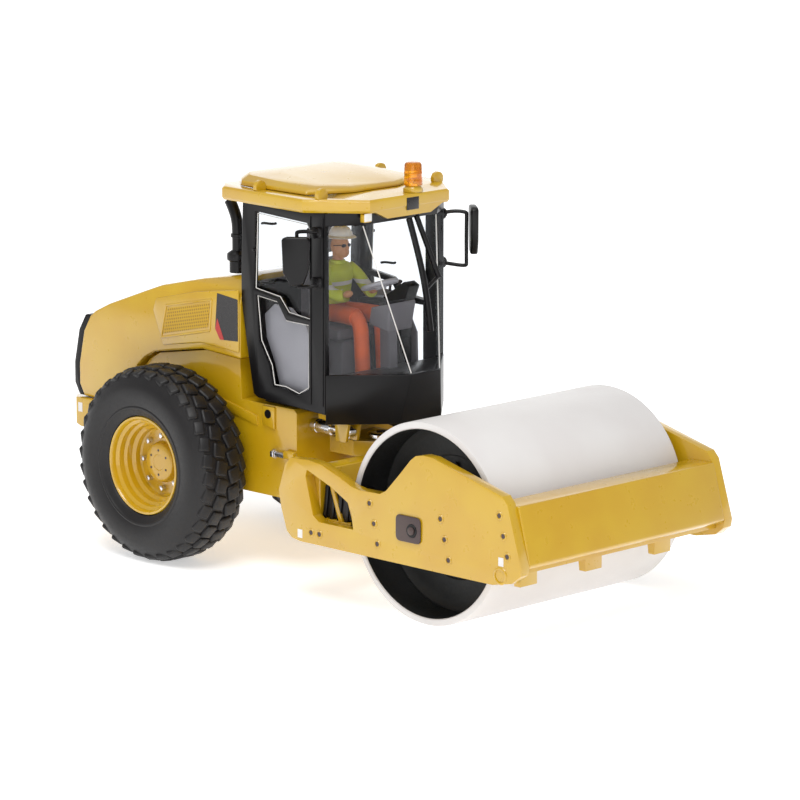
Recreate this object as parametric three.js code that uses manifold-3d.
// Toy road roller: a single smooth drum in a steered front frame, and a rear frame with
// engine hood, cab, operator and two driven tyres.
// Millimetres, +Z up. The drum end faces -Y and the machine's right-hand side is +X.
// Working positions along Y are counted from the drum's axle; the group that holds the
// whole machine moves them to the middle of its length.
import * as THREE from "three";
import { mergeVertices } from "three/addons/utils/BufferGeometryUtils.js";
import Module from "manifold-3d";

// Driving dimensions.
const MIDDLE_Y = 32; // middle of the machine's length, counted from the drum's axle
const GAP = 0.05; // air between two pieces that rest against each other

const DRUM_RADIUS = 15.35;
const DRUM_HALF_WIDTH = 20.2;
const DRUM_WALL = 1.1;
const DRUM_RECESS = 6.5; // from the drum's rim to the disc inside it
const JOURNAL_RADIUS = 2.2;

const PLATE_OUTER = 23.35; // outer face of the front frame's side plates
const PLATE_INNER = 21.6;

const HITCH_Y = 29;
const HITCH_Z = 15.75;
const PIN_RADIUS = 1.6;
const TRUNNION_RADIUS = 2.6;
const RUNNING_CLEARANCE = 0.06;

const WHEELBASE = 60;
const TYRE_RADIUS = 15.5;
const TYRE_INNER = 12.9; // inner face of the tyre
const TYRE_OUTER = 23.4;
const TREAD_DEPTH = 0.75;
const LUGS_ROUND = 22;
const RIM_RADIUS = 7.9;

const CHASSIS_HALF_WIDTH = 12.2;
const HOOD_HALF_WIDTH = 13.3;
const CAB_HALF_WIDTH = 13;
const CAB_WALL = 1;
const CAB_BASE_Z = 26.6;
const CAB_TOP_Z = 57.9;
const ROOF_TOP_Z = 60;

const wasm = await Module();
wasm.setup();

const FINISHES = {
  yellow: { color: 0xe3b53c, roughness: 0.35, metalness: 0.1 },
  black: { color: 0x1d1b1c, roughness: 0.5, metalness: 0 },
  steel: { color: 0xdcd8d4, roughness: 0.4, metalness: 0.3 },
  silver: { color: 0xb8b8ba, roughness: 0.3, metalness: 0.8 },
  rubber: { color: 0x2a2829, roughness: 0.85, metalness: 0 },
  clear: { color: 0xdfe6ea, roughness: 0.05, metalness: 0 },
  amber: { color: 0xe07a12, roughness: 0.15, metalness: 0 },
  grey: { color: 0x6f6b6e, roughness: 0.6, metalness: 0 },
  orange: { color: 0xe0662a, roughness: 0.7, metalness: 0 },
  lime: { color: 0xc9d235, roughness: 0.7, metalness: 0 },
  skin: { color: 0xc98d62, roughness: 0.6, metalness: 0 },
  white: { color: 0xece9e4, roughness: 0.45, metalness: 0 },
};

// Group placed in its parent.
function group(parent, x, y, z) {
  const made = new THREE.Group();
  made.position.set(x, y, z);
  parent.add(made);
  return made;
}

// Adds one named piece to a group.
function add(parent, name, geometry, finish) {
  const mesh = new THREE.Mesh(geometry, new THREE.MeshStandardMaterial(FINISHES[finish]));
  mesh.name = name;
  parent.add(mesh);
}

// Adds a piece and its mirror image, left (-X) and right (+X), made by make(side).
function addPair(parent, name, make, finish) {
  add(parent, `${name}_left`, make(-1), finish);
  add(parent, `${name}_right`, make(1), finish);
}

// Closed solid through loops of equally many points. Seen from the last loop, each runs
// counterclockwise. The end faces are triangulated with the axis `drop` left out.
function loft(loops, drop = 2) {
  const count = loops[0].length;
  const index = [];
  for (let k = 0; k + 1 < loops.length; k += 1) {
    for (let i = 0; i < count; i += 1) {
      const a = k * count + i;
      const b = k * count + ((i + 1) % count);
      index.push(a, b, b + count, a, b + count, a + count);
    }
  }
  const last = (loops.length - 1) * count;
  const faces = (loop) => {
    const flat = loop.map((p) => new THREE.Vector2(p[(drop + 1) % 3], p[(drop + 2) % 3]));
    return THREE.ShapeUtils.triangulateShape(flat, []);
  };
  for (const [a, b, c] of faces(loops[0])) index.push(a, c, b);
  for (const [a, b, c] of faces(loops[loops.length - 1])) index.push(last + a, last + b, last + c);
  const geometry = new THREE.BufferGeometry();
  geometry.setAttribute("position", new THREE.Float32BufferAttribute(loops.flat(2), 3));
  geometry.setIndex(index);
  return geometry;
}

// Profile of [y, z] points, carried along X from x0 to x1, with optional holes.
function slab(points, x0, x1, holes = []) {
  const geometry = extruded(points, x1 - x0, holes);
  geometry.applyMatrix4(new THREE.Matrix4().set(0, 0, 1, x0, 1, 0, 0, 0, 0, 1, 0, 0, 0, 0, 0, 1));
  return geometry;
}

// Profile of [x, y] points, carried up from z0 to z1, with optional holes.
function plate(points, z0, z1, holes = []) {
  return extruded(points, z1 - z0, holes).translate(0, 0, z0);
}

// Profile of [x, z] points, carried along Y from y0 to y1, with optional holes.
function wall(points, y0, y1, holes = []) {
  const geometry = extruded(points, y1 - y0, holes);
  geometry.applyMatrix4(new THREE.Matrix4().set(1, 0, 0, 0, 0, 0, -1, y1, 0, 1, 0, 0, 0, 0, 0, 1));
  return geometry;
}

function extruded(points, depth, holes) {
  const shape = new THREE.Shape(points.map(([a, b]) => new THREE.Vector2(a, b)));
  shape.holes = holes.map((hole) => new THREE.Path(hole.map(([a, b]) => new THREE.Vector2(a, b))));
  return new THREE.ExtrudeGeometry(shape, { depth, bevelEnabled: false, curveSegments: 8 });
}

function box(x0, x1, y0, y1, z0, z1) {
  const geometry = new THREE.BoxGeometry(x1 - x0, y1 - y0, z1 - z0);
  return geometry.translate((x0 + x1) / 2, (y0 + y1) / 2, (z0 + z1) / 2);
}

// Box whose two ends along X may come in either order.
function spanned(a, b, ...rest) {
  return box(Math.min(a, b), Math.max(a, b), ...rest);
}

// Profile of [radius, distance along the axis] points, turned about an X, Y or Z axis.
function turned(profile, axis, segments = 32) {
  const points = profile.map(([r, t]) => new THREE.Vector2(r, t));
  const geometry = new THREE.LatheGeometry(points, segments);
  if (axis === "x") geometry.rotateZ(-Math.PI / 2);
  if (axis === "z") geometry.rotateX(Math.PI / 2);
  return geometry;
}

function rod(radius, from, to, axis, segments = 24) {
  return turned([[0, from], [radius, from], [radius, to], [0, to]], axis, segments);
}

// Round bar along a smooth curve through the given points.
function bar(points, radius, segments = 3, steps = 4) {
  const circle = new THREE.Shape();
  circle.absarc(0, 0, radius, 0, Math.PI * 2);
  const path = new THREE.CatmullRomCurve3(points.map((p) => new THREE.Vector3(...p)));
  const options = { steps, extrudePath: path, bevelEnabled: false, curveSegments: segments };
  return new THREE.ExtrudeGeometry(circle, options);
}

function ellipsoid(x, y, z, rx, ry, rz, across = 16, up = 10) {
  return new THREE.SphereGeometry(1, across, up).scale(rx, ry, rz).translate(x, y, z);
}

// Flat panel: the outer face's corners, and its thickness to the inside.
function panel(corners, thickness) {
  const [a, b, c] = corners.map((p) => new THREE.Vector3(...p));
  const normal = b.clone().sub(a).cross(c.clone().sub(b)).normalize();
  const inner = corners.map((p) => p.map((v, i) => v - normal.getComponent(i) * thickness));
  const drop = [0, 1, 2].reduce((m, i) => (Math.abs(normal.getComponent(i))
    > Math.abs(normal.getComponent(m)) ? i : m), 0);
  if (normal.getComponent(drop) > 0) return loft([inner, corners], drop);
  return loft([corners.slice().reverse(), inner.slice().reverse()], drop);
}

// Copy with its positions only.
function bare(geometry) {
  const copy = geometry.clone();
  copy.deleteAttribute("normal");
  copy.deleteAttribute("uv");
  return copy;
}

function solidOf(geometry) {
  const merged = mergeVertices(bare(geometry), 1e-4);
  return new wasm.Manifold(new wasm.Mesh({
    numProp: 3,
    vertProperties: merged.attributes.position.array,
    triVerts: new Uint32Array(merged.index.array),
  }));
}

function geometryOf(solid) {
  const mesh = solid.getMesh();
  const position = new Float32Array(mesh.numVert * 3);
  for (let i = 0; i < mesh.numVert; i += 1) {
    const start = i * mesh.numProp;
    position.set(mesh.vertProperties.subarray(start, start + 3), i * 3);
  }
  const geometry = new THREE.BufferGeometry();
  geometry.setAttribute("position", new THREE.BufferAttribute(position, 3));
  geometry.setIndex(new THREE.BufferAttribute(new Uint32Array(mesh.triVerts), 1));
  return geometry;
}

function join(first, ...others) {
  return geometryOf(others.reduce((sum, g) => sum.add(solidOf(g)), solidOf(first)));
}

function cut(first, ...others) {
  return geometryOf(others.reduce((sum, g) => sum.subtract(solidOf(g)), solidOf(first)));
}

function common(first, second) {
  return geometryOf(solidOf(first).intersect(solidOf(second)));
}

// A right-hand (+X) piece as it is, or turned into its left-hand mirror image.
function mirrored(geometry, side) {
  if (side > 0) return geometry;
  const made = mergeVertices(bare(geometry), 1e-4).scale(-1, 1, 1);
  const index = made.index.array;
  for (let i = 0; i < index.length; i += 3) {
    [index[i + 1], index[i + 2]] = [index[i + 2], index[i + 1]];
  }
  return made;
}

// Front frame -------------------------------------------------------------------------

const SIDE_PLATE = [
  [25.4, 22.1], [21.6, 22.3], [18.8, 22.0], [14.5, 20.5], [12.3, 19.6], [10.6, 19.35],
  [6.4, 19.45], [5.1, 20.1], [2.1, 23.2], [0, 25.5], [-1.1, 26.3], [-2.6, 26.6], [-4.5, 26.5],
  [-18.6, 22.9], [-19.6, 21.8], [-22.4, 12.8], [-22.2, 11.6], [-20.6, 10.3], [-16.7, 9.5],
  [23.4, 9.5], [25.2, 9.8], [26.3, 10.7], [27.5, 14.1], [28, 16.8], [26.6, 20.9],
];
const SIDE_WINDOW = [
  [21.9, 20.8], [16.7, 18.9], [13.2, 17.1], [12.4, 15.7], [12, 13.1], [19.3, 13.1], [20.6, 13.9],
  [22.2, 19.7],
];

function sidePlate(side) {
  const body = slab(SIDE_PLATE, PLATE_INNER, PLATE_OUTER, [SIDE_WINDOW]);
  const journal = rod(JOURNAL_RADIUS, 14.4, PLATE_OUTER - 0.3, "x", 16)
    .translate(0, 0, DRUM_RADIUS);
  return mirrored(join(body, journal), side);
}

const BEAM = [
  [-20.2, 21.35], [-22.5, 12.9], [-21.9, 12.3], [-18.2, 12.3], [-17.3, 13.6], [-16.9, 20.3],
  [-15.7, 20.7], [-15.7, 21.35],
];

function frontBeam() {
  return slab(BEAM, -PLATE_INNER + GAP, PLATE_INNER - GAP);
}

// A thin bar under the beam with three hooked tabs.
function scraperBar() {
  const reach = PLATE_INNER - GAP;
  const strip = slab([[-20.6, 11.3], [-18.6, 11.3], [-18.6, 12.25], [-20.6, 12.25]], -reach, reach);
  const tab = [[-20.4, 9.4], [-19.2, 9.4], [-18.9, 11.5], [-20.4, 11.5]];
  return join(strip, ...[-21.4, -7.4, 7.9].map((x) => slab(tab, x, x + 3.6)));
}

// Cross tube between the side plates, with a bored boss that turns on the hitch trunnion.
function rearCrossmember() {
  const reach = PLATE_INNER - GAP;
  const profile = [[20.9, 10.4], [24.2, 10.4], [24.6, 11], [24.6, 20], [24.2, 20.6], [20.9, 20.6]];
  const beam = slab(profile, -reach, reach);
  const boss = rod(4.4, 18.6, 25.4, "y").translate(0, 0, HITCH_Z);
  const bore = rod(TRUNNION_RADIUS + RUNNING_CLEARANCE, 17, 27, "y", 24).translate(0, 0, HITCH_Z);
  return cut(join(beam, boss), bore);
}

// Ribbed rubber block that hangs the drum's bearing from the side plate.
function isolator(side) {
  const outer = side * (PLATE_INNER - GAP);
  const block = spanned(side * 18, outer, 16.4, 20.8, 13, 18.6);
  const web = spanned(side * 20.5, outer, 12.9, 16.6, 13, 18);
  const ribs = [16.6, 18, 19.4].map((y) => spanned(side * 17.6, outer, y, y + 0.7, 12.4, 19.2));
  return join(block, web, ...ribs);
}

// Rounded plate with a bolt head, over the end of the drum's journal.
function axleCover(side) {
  const outline = [[-2.2, 13.4], [-1.6, 13], [2.2, 13], [2.7, 13.5], [2.7, 16.6], [2.2, 17.1],
    [-1.6, 17.1], [-2.2, 16.6]];
  const from = side * (PLATE_OUTER + GAP);
  const cover = slab(outline, Math.min(from, side * 23.7), Math.max(from, side * 23.7));
  const bolt = rod(0.7, Math.min(side * 23.5, side * 24), Math.max(side * 23.5, side * 24), "x", 6)
    .translate(0, 0.2, 15.1);
  return join(cover, bolt);
}

// Drum --------------------------------------------------------------------------------

function drumTube() {
  const inner = DRUM_RADIUS - DRUM_WALL;
  const w = DRUM_HALF_WIDTH;
  const ring = [
    [inner, -w], [DRUM_RADIUS - 0.3, -w], [DRUM_RADIUS, -w + 0.3], [DRUM_RADIUS, w - 0.3],
    [DRUM_RADIUS - 0.3, w], [inner, w], [inner, -w],
  ];
  return turned(ring, "x", 48);
}

// Two discs and the tube between them, with a socket at each end for the journal.
function drumCore() {
  const rim = DRUM_RADIUS - DRUM_WALL - GAP;
  const face = DRUM_HALF_WIDTH - DRUM_RECESS;
  const half = [
    [0, 12], [JOURNAL_RADIUS + 0.08, 12], [JOURNAL_RADIUS + 0.08, face + 1.4],
    [4.4, face + 1.4], [4.6, face], [rim, face], [rim, face - 1.6], [4.5, face - 1.6],
  ];
  const other = half.map(([r, x]) => [r, -x]).reverse();
  return turned([...half, ...other].reverse(), "x", 32);
}

// Hitch -------------------------------------------------------------------------------

// Block on the upright pin, with a round trunnion forwards on which the front frame rocks.
function hitchYoke() {
  const outline = [[-4.4, 26], [4.4, 26], [4.4, 30], [2.6, 32.4], [-2.6, 32.4], [-4.4, 30]];
  const block = plate(outline, 12.75, 18.75);
  const trunnion = rod(TRUNNION_RADIUS, 18.4, 27, "y", 24).translate(0, 0, HITCH_Z);
  const bore = rod(PIN_RADIUS + RUNNING_CLEARANCE, 11, 21, "z", 20).translate(0, HITCH_Y, 0);
  return cut(join(block, trunnion), bore);
}

function hitchPin() {
  const profile = [[0, 9.2], [2.4, 9.2], [2.4, 10.15], [PIN_RADIUS, 10.15], [PIN_RADIUS, 21.35],
    [2.4, 21.35], [2.4, 22.2], [0, 22.2]];
  return turned(profile, "z", 20).translate(0, HITCH_Y, 0);
}

// Rear frame --------------------------------------------------------------------------

const CHASSIS = [
  [35.6, 14], [37.6, 12], [73.4, 12], [74.9, 13.6], [74.9, 21.8], [70.5, 28.6], [69, 30.1],
  [66.8, 31.3], [55.8, 33.2], [48.2, 32.7], [48, 26.4], [36.2, 26.4], [35.6, 25.8],
];

// Box frame with the hitch's two lugs and the axle's ends.
function rearChassis() {
  const lug = [[-5, 36.5], [-5, 30.5], [-2.6, 27], [2.6, 27], [5, 30.5], [5, 36.5]];
  const bore = rod(PIN_RADIUS + 0.03, 8, 24, "z", 20).translate(0, HITCH_Y, 0);
  const frame = slab(CHASSIS, -CHASSIS_HALF_WIDTH, CHASSIS_HALF_WIDTH);
  const nose = slab([[35, 10.2], [42, 10.2], [44, 12.4], [35, 12.4]], -5, 5);
  const axle = rod(3, -15.6, 15.6, "x", 16).translate(0, WHEELBASE, TYRE_RADIUS);
  const flange = (side) => rod(4.6, side * 12.7 - 0.7, side * 12.7 + 0.7, "x", 16)
    .translate(0, WHEELBASE, TYRE_RADIUS);
  const lugs = [plate(lug, 10.2, 12.65), plate(lug, 18.85, 21.3)];
  return cut(join(frame, nose, axle, flange(-1), flange(1), ...lugs), bore);
}

function rearBumper() {
  const profile = [[76.2, 17.2], [84, 17.2], [86, 17.9], [86.5, 18.8], [86.5, 21.9], [76.2, 21.9]];
  const plan = [[-14, 76.2], [14, 76.2], [14, 85], [12.6, 86.5], [-12.6, 86.5], [-14, 85]];
  const body = common(slab(profile, -14, 14), plate(plan, 16, 23));
  return join(body, box(-11, 11, 74.95, 77, 18.6, 21.8));
}

const HOOD_REAR = [[83.9, 22.1], [85, 24], [85, 27.4], [83.8, 32.9], [82.2, 35.5]];
const HOOD_TOP = [[81, 36.4], [77.6, 38], [71, 40.4], [65.3, 42.5], [57, 44.4], [50.6, 45.4], [47.1, 45.8]];
const HOOD_ARCH = [[47.1, 33], [55.8, 33.5], [66.9, 31.6], [69.2, 30.4], [70.9, 28.9], [75.4, 22.1]];

function engineHood() {
  const side = slab([...HOOD_ARCH, ...HOOD_REAR, ...HOOD_TOP], -HOOD_HALF_WIDTH, HOOD_HALF_WIDTH);
  const w = HOOD_HALF_WIDTH;
  const section = [[-w, 21], [w, 21], [w, 41.6], [w - 0.9, 43.8], [w - 3, 45.2], [w - 6, 46],
    [-w + 6, 46], [-w + 3, 45.2], [-w + 0.9, 43.8], [-w, 41.6]];
  return common(side, wall(section, 46, 86));
}

function rearGrille() {
  const inner = HOOD_REAR.map(([y, z]) => [y + GAP, z]);
  const outer = HOOD_REAR.map(([y, z]) => [y + 1.5, z]).reverse();
  return slab([...outer, ...inner].reverse(), -HOOD_HALF_WIDTH + 0.3, HOOD_HALF_WIDTH - 0.3);
}

function hoodVent(side) {
  const outline = [[53.9, 37], [64.6, 34.6], [63.5, 39.3], [53.4, 41.4]];
  return mirrored(slab(outline, HOOD_HALF_WIDTH + GAP, HOOD_HALF_WIDTH + 0.4), side);
}

function exhaustStack() {
  const path = [[-8, 53, 46.4], [-8, 53, 52.4], [-8, 53.3, 54.2], [-8, 54.6, 56.6]];
  const pipe = bar(path, 0.9, 5, 8);
  const base = turned([[0, 45.4], [1.3, 45.4], [1.3, 47.4], [1.7, 47.5], [1.7, 48.6], [1.2, 48.9],
    [0, 48.9]], "z", 12).translate(-8, 53, 0);
  return join(pipe, base);
}

// Short hydraulic cylinder beside the hitch, held on the rear frame.
function steeringCylinder(side) {
  const barrel = rod(1.1, 31, 35.5, "y", 12);
  const stem = rod(0.55, 28.2, 31.2, "y", 8);
  const eye = rod(1.2, -0.8, 0.8, "x", 12).translate(0, 28, 0);
  return join(barrel, stem, eye).translate(side * 8.6, 0, 23.6);
}

// Cab ---------------------------------------------------------------------------------

const SIDE_FRAME = [
  [28.5, CAB_BASE_Z + 0.1], [43.4, 27.4], [44.4, 27.9], [45.8, 35.3], [47, 42.3], [47, 47],
  [46.6, CAB_TOP_Z], [28.5, CAB_TOP_Z],
];
const DOOR_WINDOW = [
  [31.6, 41], [36.7, 41.5], [38.7, 43.7], [44.2, 44.4], [43.8, 56.6], [32.4, 56], [31.6, 55],
];
const LOWER_WINDOW = [
  [32.1, 30.3], [34.4, 28.9], [37.4, 29.6], [40.1, 29.6], [40.8, 32.8], [43, 36.4], [43.8, 43.6],
  [39.1, 43.1], [37.1, 40.4], [32.1, 40.3],
];
// The panes lie against the frame's inner face and lap its windows' edges.
const DOOR_GLASS = [
  [31, 40.85], [36.95, 41.2], [38.95, 43.6], [44.8, 44.2], [44.5, 57.2], [32, 56.8], [31, 55.4],
];
const LOWER_GLASS = [
  [31.4, 29.4], [34.2, 28.3], [40.6, 28.9], [41.5, 32.6], [43.8, 36.3], [44.4, 43.85], [38.9, 43.3],
  [36.9, 40.6], [31.4, 40.5],
];

function cabFrame(side) {
  const holes = [DOOR_WINDOW, LOWER_WINDOW];
  return mirrored(slab(SIDE_FRAME, CAB_HALF_WIDTH - CAB_WALL, CAB_HALF_WIDTH, holes), side);
}

function cabPane(side, outline) {
  const face = CAB_HALF_WIDTH - CAB_WALL;
  return mirrored(slab(outline, face - 0.4, face - GAP), side);
}

function cabFloor() {
  const plan = [[-11.5, 43.4], [-11.5, 29.1], [-4, 22], [4, 22], [11.5, 29.1], [11.5, 43.4]];
  return plate(plan.reverse(), CAB_BASE_Z, CAB_BASE_Z + 1.1);
}

// Bay-shaped strip round the front of the cab: half-widths and depths of its corners.
function bay(outerCorner, outerFront, innerCorner, innerFront, side, back, z) {
  const inner = side - 1;
  return [
    [-side, back, z], [-outerCorner, outerFront, z], [outerCorner, outerFront, z], [side, back, z],
    [inner, back, z], [innerCorner, innerFront, z], [-innerCorner, innerFront, z], [-inner, back, z],
  ];
}

function cabFrontPanel() {
  const back = 28.45;
  return loft([
    bay(4.6, 20.8, 4.2, 21.9, CAB_HALF_WIDTH, back, 25.2),
    bay(3.1, 19.5, 2.7, 20.6, CAB_HALF_WIDTH, back, 32.9),
  ]);
}

function cabHeader() {
  const back = 28.45;
  return loft([
    bay(8, 25.15, 7.7, 26.15, CAB_HALF_WIDTH, back, 55.9),
    bay(8, 24.7, 7.7, 25.7, CAB_HALF_WIDTH, back, CAB_TOP_Z),
  ]);
}

function windscreen() {
  return panel([[-3, 19.6, 33], [3, 19.6, 33], [7.85, 25.2, 55.8], [-7.85, 25.2, 55.8]], 0.4);
}

function cornerGlass(side) {
  const outer = [[8.15, 25.45, 55.8], [12.7, 28.1, 55.8], [12.7, 27.9, 33], [3.3, 19.9, 33]];
  const inner = outer.map(([x, y, z]) => [x - 0.3, y + 0.3, z]);
  return mirrored(loft([outer, inner], 1), side);
}

const REAR_WALL = [
  [43.3, 27.8], [44.4, 27.9], [45.8, 35.3], [47, 42.3], [47, 47], [46.6, CAB_TOP_Z],
  [45.6, CAB_TOP_Z], [46, 47], [46, 42.4], [44.8, 35.4],
];

function cabRearWall() {
  const reach = CAB_HALF_WIDTH - CAB_WALL - GAP;
  return cut(slab(REAR_WALL, -reach, reach), box(-10.8, 10.8, 40, 50, 45, 56.2));
}

function rearGlass() {
  return box(-11.4, 11.4, 45.1, 45.5, 44.4, 56.8);
}

const ROOF_PLAN = [
  [-8.6, 23.1], [8.6, 23.1], [15.2, 31.1], [14.3, 49.8], [11.6, 52.5], [-11.6, 52.5],
  [-14.3, 49.8], [-15.2, 31.1],
];

// Flat roof with a drooping front fascia and four lifting eyes.
function cabRoof() {
  const top = CAB_TOP_Z + GAP;
  const scaled = (k, z) => ROOF_PLAN.map(([x, y]) => [x * k, 38 + (y - 38) * k, z]);
  const body = loft([scaled(0.985, top), scaled(1, top + 0.4), scaled(1, ROOF_TOP_Z - 0.3),
    scaled(0.98, ROOF_TOP_Z)]);
  const fascia = wall([[-8.3, top + 0.5], [-4.7, 56.8], [4.7, 56.8], [8.3, top + 0.5]], 23.2, 24.2);
  const eye = (x, y) => rod(1.1, -0.35, 0.35, "y", 10).translate(x, y, ROOF_TOP_Z + 0.5);
  return join(body, fascia, eye(-12.6, 29.6), eye(12.6, 29.6), eye(-13.1, 42.6), eye(13.1, 42.6));
}

function roofCap() {
  const plan = [[-5, 30.3], [5, 30.3], [12, 33.6], [12, 48], [9.8, 50.6], [-9.8, 50.6],
    [-12, 48], [-12, 33.6]];
  const at = (k, z, slope) => plan.map(([x, y]) => [x * k, 38 + (y - 38) * k, z + (y - 38) * slope]);
  const base = plan.map(([x, y]) => [x, y, ROOF_TOP_Z + GAP]);
  return loft([base, at(0.99, 60.6, 0.02), at(0.9, 61.2, 0.05), at(0.6, 61.4, 0.05)]);
}

function beaconBase() {
  return turned([[0, 0.05], [1.5, 0.05], [1.5, 0.8], [1.2, 1], [0, 1]], "z", 16);
}

function beaconLens() {
  return turned([[0, 1.05], [1.35, 1.05], [1.45, 1.3], [1.4, 4.2], [1.1, 4.6], [0, 4.6]], "z", 16);
}

function workLight() {
  return join(box(-9.1, -8.1, 24.3, 24.7, 57, 57.85), box(-9.3, -7.9, 23.5, 24.5, 56.6, 57.75));
}

// Arm and blade, lying a little ahead of the windscreen.
function wiper() {
  const arm = bar([[2.3, 24.1, 56.4], [3.9, 23.2, 51.5], [5.3, 22.2, 46.7]], 0.3);
  const blade = bar([[0.6, 23.9, 56.2], [1.6, 22.7, 50.4], [1.9, 21.3, 44.2], [1.3, 19.9, 39]], 0.36, 3, 6);
  const clip = bar([[1.9, 21.5, 45.2], [3.6, 21.8, 46.2], [5.3, 22.2, 46.8]], 0.28, 3, 3);
  return join(arm, blade, clip);
}

const MIRROR_SPOTS = { "-1": [-16.8, 30.8, 50.6], 1: [17, 25.9, 52.2] };

function mirrorHead(side) {
  const [x, y, z] = MIRROR_SPOTS[side];
  const face = [[-2.2, 3.6], [-1.4, 3.9], [1.8, 3.9], [2.2, 3.4], [2, -1], [1.2, -3.4], [-0.8, -3.7],
    [-2, -1.6]];
  const geometry = wall(face.reverse(), -0.6, 0.6);
  return geometry.rotateZ(side * 0.87).translate(x, y, z);
}

function mirrorArm(side) {
  const [x, y] = MIRROR_SPOTS[side];
  const inner = side * (CAB_HALF_WIDTH + GAP);
  const out = x - side * 0.85;
  const near = y + 0.7;
  const knee = side * 14.6;
  const upper = bar([[side * 13.6, 29.6, 54.9], [knee, 28.4, 55.3], [out, near, 55.2]], 0.32);
  const lower = bar([[side * 13.6, 29.6, 47.2], [knee, 28.4, 46.9], [out, near, 46.6]], 0.32);
  const bow = bar([[out, near, 46.5], [out, near + 0.1, 50.8], [out, near, 55.4]], 0.32, 3, 3);
  const foot = (z) => spanned(inner, side * 13.9, 28.8, 30.6, z - 0.8, z + 0.8);
  return join(upper, lower, bow, foot(54.9), foot(47.2));
}

// Inside the cab ----------------------------------------------------------------------

function seatBase() {
  return loft([
    [[-3.6, 34.5, 27.75], [3.6, 34.5, 27.75], [3.6, 42.5, 27.75], [-3.6, 42.5, 27.75]],
    [[-3, 34.8, 36], [3, 34.8, 36], [3, 42, 36], [-3, 42, 36]],
  ]);
}

function seatCushion() {
  return loft([
    [[-4, 34.9, 36.05], [4, 34.9, 36.05], [4, 41, 36.05], [-4, 41, 36.05]],
    [[-4.2, 34.5, 37], [4.2, 34.5, 37], [4.2, 41, 37], [-4.2, 41, 37]],
    [[-4, 34.9, 38.2], [4, 34.9, 38.2], [4, 41, 38.2], [-4, 41, 38.2]],
  ]);
}

function seatBack() {
  const at = (w, y0, y1, z) => [[-w, y0, z], [w, y0, z], [w, y1, z], [-w, y1, z]];
  return loft([at(3.9, 41.1, 42.8, 36.1), at(4.1, 41.3, 43.4, 40), at(3.8, 41.7, 43.6, 48),
    at(2.6, 42, 43.6, 51), at(2.4, 42.1, 43.5, 53)]);
}

function armrestConsole() {
  const side = [[30.5, 36], [40, 36], [40, 41.4], [34.4, 42], [29.8, 45], [28.6, 44.4], [30, 41]];
  const near = slab(side.slice().reverse(), 5.4, 7.8);
  return join(near, box(5.8, 8.4, 31, 41, 27.75, 36.2));
}

function steeringColumn() {
  const stalk = loft([
    [[-1, 26.4, 27.75], [1, 26.4, 27.75], [1, 28.6, 27.75], [-1, 28.6, 27.75]],
    [[-1, 26.8, 40], [1, 26.8, 40], [1, 28.8, 40], [-1, 28.8, 40]],
  ]);
  const pod = loft([
    [[-2.6, 25.2, 38.6], [2.6, 25.2, 38.6], [2.6, 29.6, 39.4], [-2.6, 29.6, 39.4]],
    [[-3, 24.6, 43.2], [3, 24.6, 43.2], [3, 28.6, 42.2], [-3, 28.6, 42.2]],
  ]);
  return join(stalk, pod);
}

function steeringWheel() {
  const ring = new THREE.TorusGeometry(2.7, 0.35, 5, 16);
  const hub = rod(0.9, -1.4, 0.3, "z", 8);
  const spoke = (turn) => box(-0.35, 0.35, 0, 2.6, -0.2, 0.2).rotateZ(turn);
  const wheel = join(ring, hub, spoke(0), spoke(2.1), spoke(4.2));
  return wheel.rotateX(-0.35).translate(0, 29.6, 45.2);
}

function operatorLegs() {
  const leg = (side) => {
    const knee = [side * 2.2, 32.2, 39.7];
    const thigh = bar([[side * 1.8, 39.6, 39.9], [side * 2, 36, 40], knee], 1.45, 4, 3);
    const shin = bar([knee, [side * 2.3, 31.5, 35], [side * 2.3, 31, 30]], 1.25, 4, 3);
    const boot = box(side * 2.3 - 1.1, side * 2.3 + 1.1, 28.9, 32.4, 27.8, 30.4);
    return join(thigh, shin, boot);
  };
  return join(leg(-1), leg(1), ellipsoid(0, 39.2, 40, 3, 1.6, 1.6, 8, 6));
}

function operatorTorso() {
  const at = (w, y0, y1, z) => [
    [-w, y0 + 0.6, z], [-w * 0.7, y0, z], [w * 0.7, y0, z], [w, y0 + 0.6, z],
    [w, y1 - 0.6, z], [w * 0.7, y1, z], [-w * 0.7, y1, z], [-w, y1 - 0.6, z],
  ];
  const chest = loft([
    at(2.5, 37.9, 40.9, 41.75), at(2.8, 37.6, 41, 44.4), at(3.1, 37.4, 41.1, 46.6),
    at(1.3, 38, 40.3, 48),
  ]);
  const arm = (side) => bar([
    [side * 3, 38.9, 46.4], [side * 3.9, 37.6, 44], [side * 3.3, 35.2, 43.1],
    [side * 2.8, 33.5, 43.7],
  ], 0.9, 4, 5);
  return join(chest, arm(-1), arm(1));
}

function operatorHead() {
  const skull = ellipsoid(0, 38.3, 50.2, 1.55, 1.75, 2.1, 12, 8);
  const neck = rod(0.9, 48.05, 49.6, "z", 8).translate(0, 38.8, 0);
  return join(common(skull, box(-3, 3, 35, 42, 47, 51.7)), neck);
}

function hardHat() {
  const profile = [[0, 51.75], [2.3, 51.75], [2.3, 52], [1.85, 52.3], [1.6, 53.1], [0.9, 53.6],
    [0, 53.75]];
  return turned(profile, "z", 16).scale(1, 1.15, 1).translate(0, 38.2, 0);
}

// Wheels ------------------------------------------------------------------------------

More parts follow.
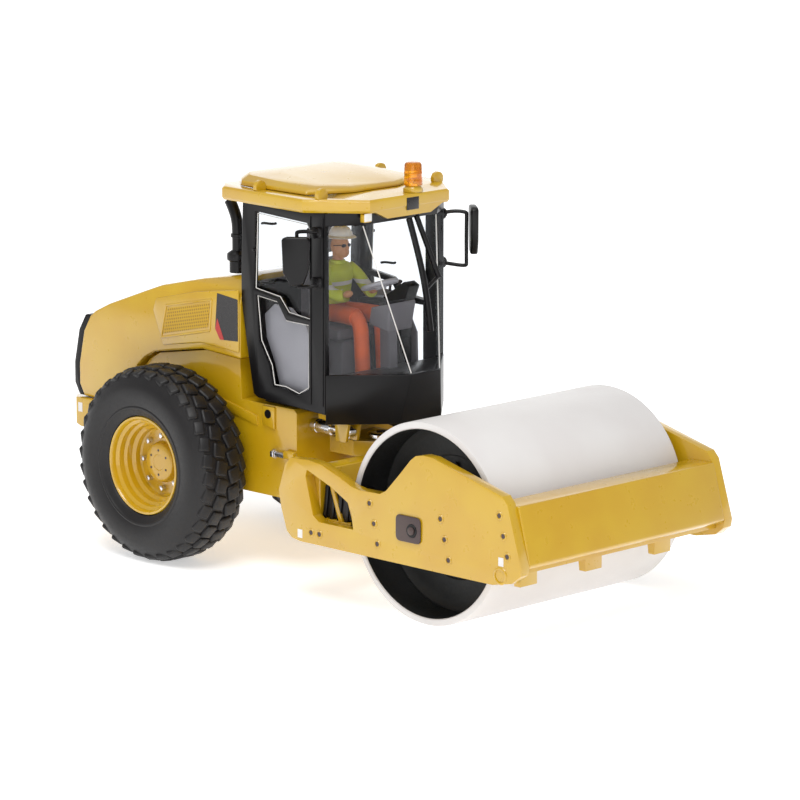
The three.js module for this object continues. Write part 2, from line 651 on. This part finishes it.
// Ring of square lugs: a toothed disc, from x0 to x1, turned by a share of a pitch.
function lugRing(x0, x1, shift) {
  const root = TYRE_RADIUS - TREAD_DEPTH - 0.3;
  const points = [];
  for (let i = 0; i < LUGS_ROUND; i += 1) {
    for (const [part, r] of [[0, root], [0.15, TYRE_RADIUS], [0.6, TYRE_RADIUS], [0.75, root]]) {
      const angle = ((i + part + shift) / LUGS_ROUND) * Math.PI * 2;
      points.push([Math.cos(angle) * r, Math.sin(angle) * r]);
    }
  }
  return slab(points, x0, x1);
}

// Carcass and two staggered rings of lugs, about the wheel's axis and middle plane.
function tyre() {
  const road = TYRE_RADIUS - TREAD_DEPTH;
  const half = (TYRE_OUTER - TYRE_INNER) / 2;
  const bead = RIM_RADIUS + GAP;
  const profile = [
    [bead, -half + 1.1], [bead + 1.2, -half + 0.3], [11.6, -half], [road, -half + 1.4],
    [road, half - 1.4], [11.6, half], [bead + 1.2, half - 0.3], [bead, half - 1.1],
    [bead, -half + 1.1],
  ];
  const carcass = turned(profile, "x", 36);
  const bore = rod(bead + 2, -20, 20, "x");
  const lugs = cut(join(lugRing(-half + 1.5, -0.1, 0), lugRing(-0.4, half - 1.5, 0.5)), bore);
  return join(carcass, lugs);
}

// Deep stepped dish with a raised hub and a ring of wheel nuts, from the tyre's middle plane.
function rim(side) {
  const r = RIM_RADIUS;
  const profile = [
    [0, -2.05], [r, -2.05], [r, 4], [r - 0.5, 4.15], [r - 1.3, 1.5], [r - 2.4, 1.2],
    [r - 2.7, -0.45], [3, -0.45], [2.6, 0.75], [0, 0.75],
  ];
  const nuts = [];
  for (let i = 0; i < 8; i += 1) {
    const angle = ((i + 0.5) / 8) * Math.PI * 2;
    const nut = rod(0.45, -0.6, 0.25, "x", 6);
    nuts.push(nut.translate(0, Math.cos(angle) * 4.1, Math.sin(angle) * 4.1));
  }
  return mirrored(join(turned(profile, "x", 24), ...nuts), side);
}

// Assembly ----------------------------------------------------------------------------

const roller = new THREE.Group();
const machine = group(roller, 0, -MIDDLE_Y, 0);
const rearFrame = group(machine, 0, 0, 0);
const cab = group(rearFrame, 0, 0, 0);
const beacon = group(cab, 2.4, 24.8, ROOF_TOP_Z);
const hitch = group(machine, 0, 0, 0);
const frontFrame = group(machine, 0, 0, 0);
const drum = group(frontFrame, 0, 0, DRUM_RADIUS);

add(rearFrame, "rear_chassis", rearChassis(), "yellow");
add(rearFrame, "rear_bumper", rearBumper(), "yellow");
add(rearFrame, "engine_hood", engineHood(), "yellow");
add(rearFrame, "rear_grille", rearGrille(), "black");
addPair(rearFrame, "hood_vent", hoodVent, "yellow");
add(rearFrame, "exhaust_stack", exhaustStack(), "black");
addPair(rearFrame, "steering_cylinder", steeringCylinder, "silver");
add(rearFrame, "hitch_pin", hitchPin(), "silver");

add(cab, "cab_floor", cabFloor(), "black");
add(cab, "cab_front_panel", cabFrontPanel(), "black");
addPair(cab, "cab_frame", cabFrame, "black");
add(cab, "cab_header", cabHeader(), "black");
add(cab, "cab_rear_wall", cabRearWall(), "black");
add(cab, "cab_roof", cabRoof(), "yellow");
add(cab, "roof_cap", roofCap(), "yellow");
add(beacon, "beacon_base", beaconBase(), "yellow");
add(beacon, "beacon_lens", beaconLens(), "amber");
add(cab, "work_light", workLight(), "yellow");
add(cab, "wiper", wiper(), "black");
addPair(cab, "mirror_arm", mirrorArm, "black");
addPair(cab, "mirror_head", mirrorHead, "black");
add(cab, "windscreen", windscreen(), "clear");
addPair(cab, "corner_glass", cornerGlass, "clear");
addPair(cab, "door_glass", (side) => cabPane(side, DOOR_GLASS), "clear");
addPair(cab, "lower_glass", (side) => cabPane(side, LOWER_GLASS), "clear");
add(cab, "rear_glass", rearGlass(), "clear");

add(cab, "seat_base", seatBase(), "grey");
add(cab, "seat_cushion", seatCushion(), "grey");
add(cab, "seat_back", seatBack(), "grey");
add(cab, "armrest_console", armrestConsole(), "black");
add(cab, "steering_column", steeringColumn(), "grey");
add(cab, "steering_wheel", steeringWheel(), "grey");
add(cab, "operator_legs", operatorLegs(), "orange");
add(cab, "operator_torso", operatorTorso(), "lime");
add(cab, "operator_head", operatorHead(), "skin");
add(cab, "hard_hat", hardHat(), "white");

add(hitch, "hitch_yoke", hitchYoke(), "yellow");

addPair(frontFrame, "side_plate", sidePlate, "yellow");
add(frontFrame, "front_beam", frontBeam(), "yellow");
add(frontFrame, "scraper_bar", scraperBar(), "yellow");
add(frontFrame, "rear_crossmember", rearCrossmember(), "yellow");
addPair(frontFrame, "isolator", isolator, "rubber");
addPair(frontFrame, "axle_cover", axleCover, "black");

add(drum, "drum_tube", drumTube(), "steel");
add(drum, "drum_core", drumCore(), "black");

for (const [name, side] of [["left", -1], ["right", 1]]) {
  const wheel = group(rearFrame, (side * (TYRE_INNER + TYRE_OUTER)) / 2, WHEELBASE, TYRE_RADIUS);
  add(wheel, `tyre_${name}`, tyre(), "rubber");
  add(wheel, `rim_${name}`, rim(side), "yellow");
}

export default roller;
